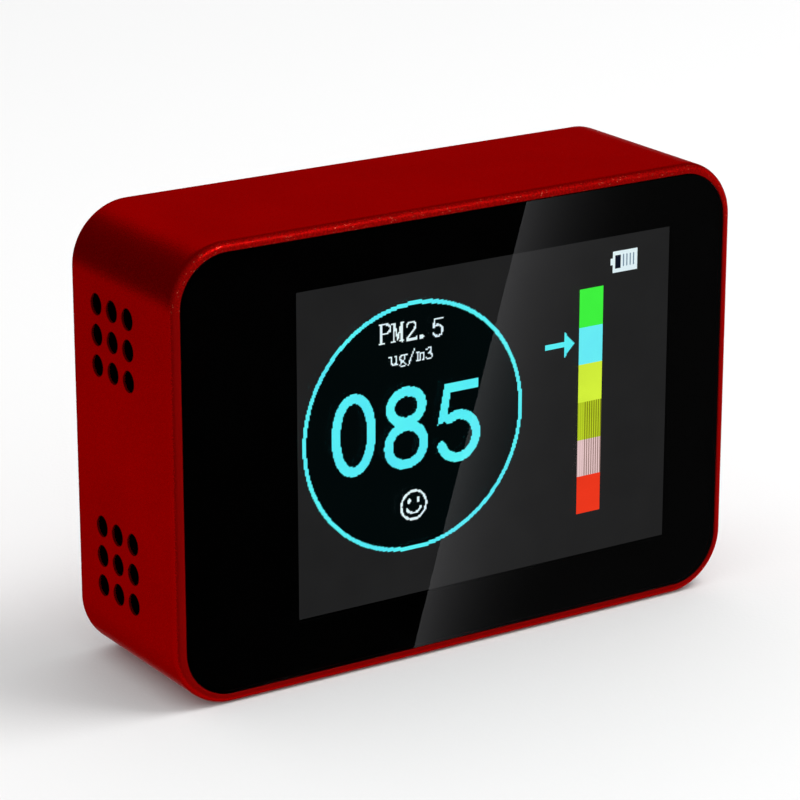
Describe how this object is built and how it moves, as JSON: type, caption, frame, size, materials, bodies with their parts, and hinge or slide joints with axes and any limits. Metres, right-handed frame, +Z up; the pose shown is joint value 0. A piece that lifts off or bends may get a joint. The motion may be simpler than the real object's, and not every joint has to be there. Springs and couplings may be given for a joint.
{
  "type": "air quality monitor",
  "caption": "Pocket air quality monitor: red metal frame, black glass front with a colour display, round side vents, laser dust sensor with fan, battery, screwed rear cover.",
  "frame": {"origin": "middle of the flat underside of the metal frame, on the surface the monitor stands on", "axes": "+X to the right seen from the front, +Y to the rear (the glass faces -Y), +Z up"},
  "size_m": [0.0858, 0.026, 0.06],
  "materials": {
    "anodised_red": "bead-blasted, anodised red",
    "cover_glass": "clear, polished",
    "black_ink": "printed black ink",
    "adhesive": "black foam adhesive tape",
    "display_glass": "polarised display cell",
    "white_plastic": "satin moulded white",
    "polyimide": "amber flex film",
    "board_green": "green solder mask",
    "chip_black": "moulded epoxy",
    "nylon": "natural nylon",
    "bright_metal": "plated",
    "black_plastic": "satin moulded black",
    "sensor_blue": "satin moulded blue",
    "foil": "laminated pouch foil",
    "yellow_tape": "polyimide tape",
    "red_wire": "silicone insulation",
    "black_wire": "silicone insulation",
    "grey_wire": "flat ribbon insulation",
    "foam": "open-cell foam",
    "screen_steel": "woven wire cloth",
    "brass": "turned"
  },
  "bodies": {
    "case": {"battery_cell": "foil", "battery_lead_black": "black_wire", "battery_lead_red": "red_wire", "battery_plug": "nylon", "battery_protection_board": "yellow_tape", "battery_socket": "nylon", "battery_tape": "adhesive", "black_mask_film": "black_ink", "board_screw_1": "bright_metal", "board_screw_2": "bright_metal", "board_screw_3": "bright_metal", "board_screw_4": "bright_metal", "charger_chip": "chip_black", "clock_crystal": "bright_metal", "controller_chip": "chip_black", "display_backlight": "white_plastic", "display_cell": "display_glass", "display_tail": "polyimide", "display_tape": "adhesive", "fan_motor": "black_plastic", "front_glass": "cover_glass", "glass_tape": "adhesive", "housing_frame": "anodised_red", "inlet_gasket": "foam", "inlet_screen": "screen_steel", "laser_module": "brass", "main_board": "board_green", "outlet_gasket": "foam", "outlet_screen": "screen_steel", "photodiode": "chip_black", "power_inductor": "chip_black", "rear_cover": "anodised_red", "rear_screw_1": "bright_metal", "rear_screw_2": "bright_metal", "rear_screw_3": "bright_metal", "rear_screw_4": "bright_metal", "sensor_base": "sensor_blue", "sensor_board": "board_green", "sensor_cable": "grey_wire", "sensor_lid": "bright_metal", "sensor_pad": "foam", "sensor_plug": "nylon", "sensor_socket": "nylon", "switch_body": "chip_black", "tail_socket": "nylon", "usb_shell": "bright_metal", "usb_tongue": "black_plastic"},
    "power_button": {"power_button_cap": "anodised_red"},
    "switch_plunger": {"switch_plunger": "nylon"},
    "fan": {"fan_impeller": "black_plastic"}
  },
  "joints": [
    {"name": "power_button_press", "type": "slide", "parent": "case", "child": "power_button", "axis": [-1, 0, 0], "range_m": [0, 0.0004], "stiffness_N_per_m": 4000},
    {"name": "switch_plunger_press", "type": "slide", "parent": "case", "child": "switch_plunger", "axis": [-1, 0, 0], "range_m": [0, 0.0004]},
    {"name": "fan_spin", "type": "hinge", "parent": "case", "child": "fan", "pos_m": [-0.0275, 0, 0.0215], "axis": [0, 1, 0], "continuous": true}
  ],
  "couplings": [
    {"joint": "switch_plunger_press", "follows": "power_button_press", "ratio": 1}
  ]
}
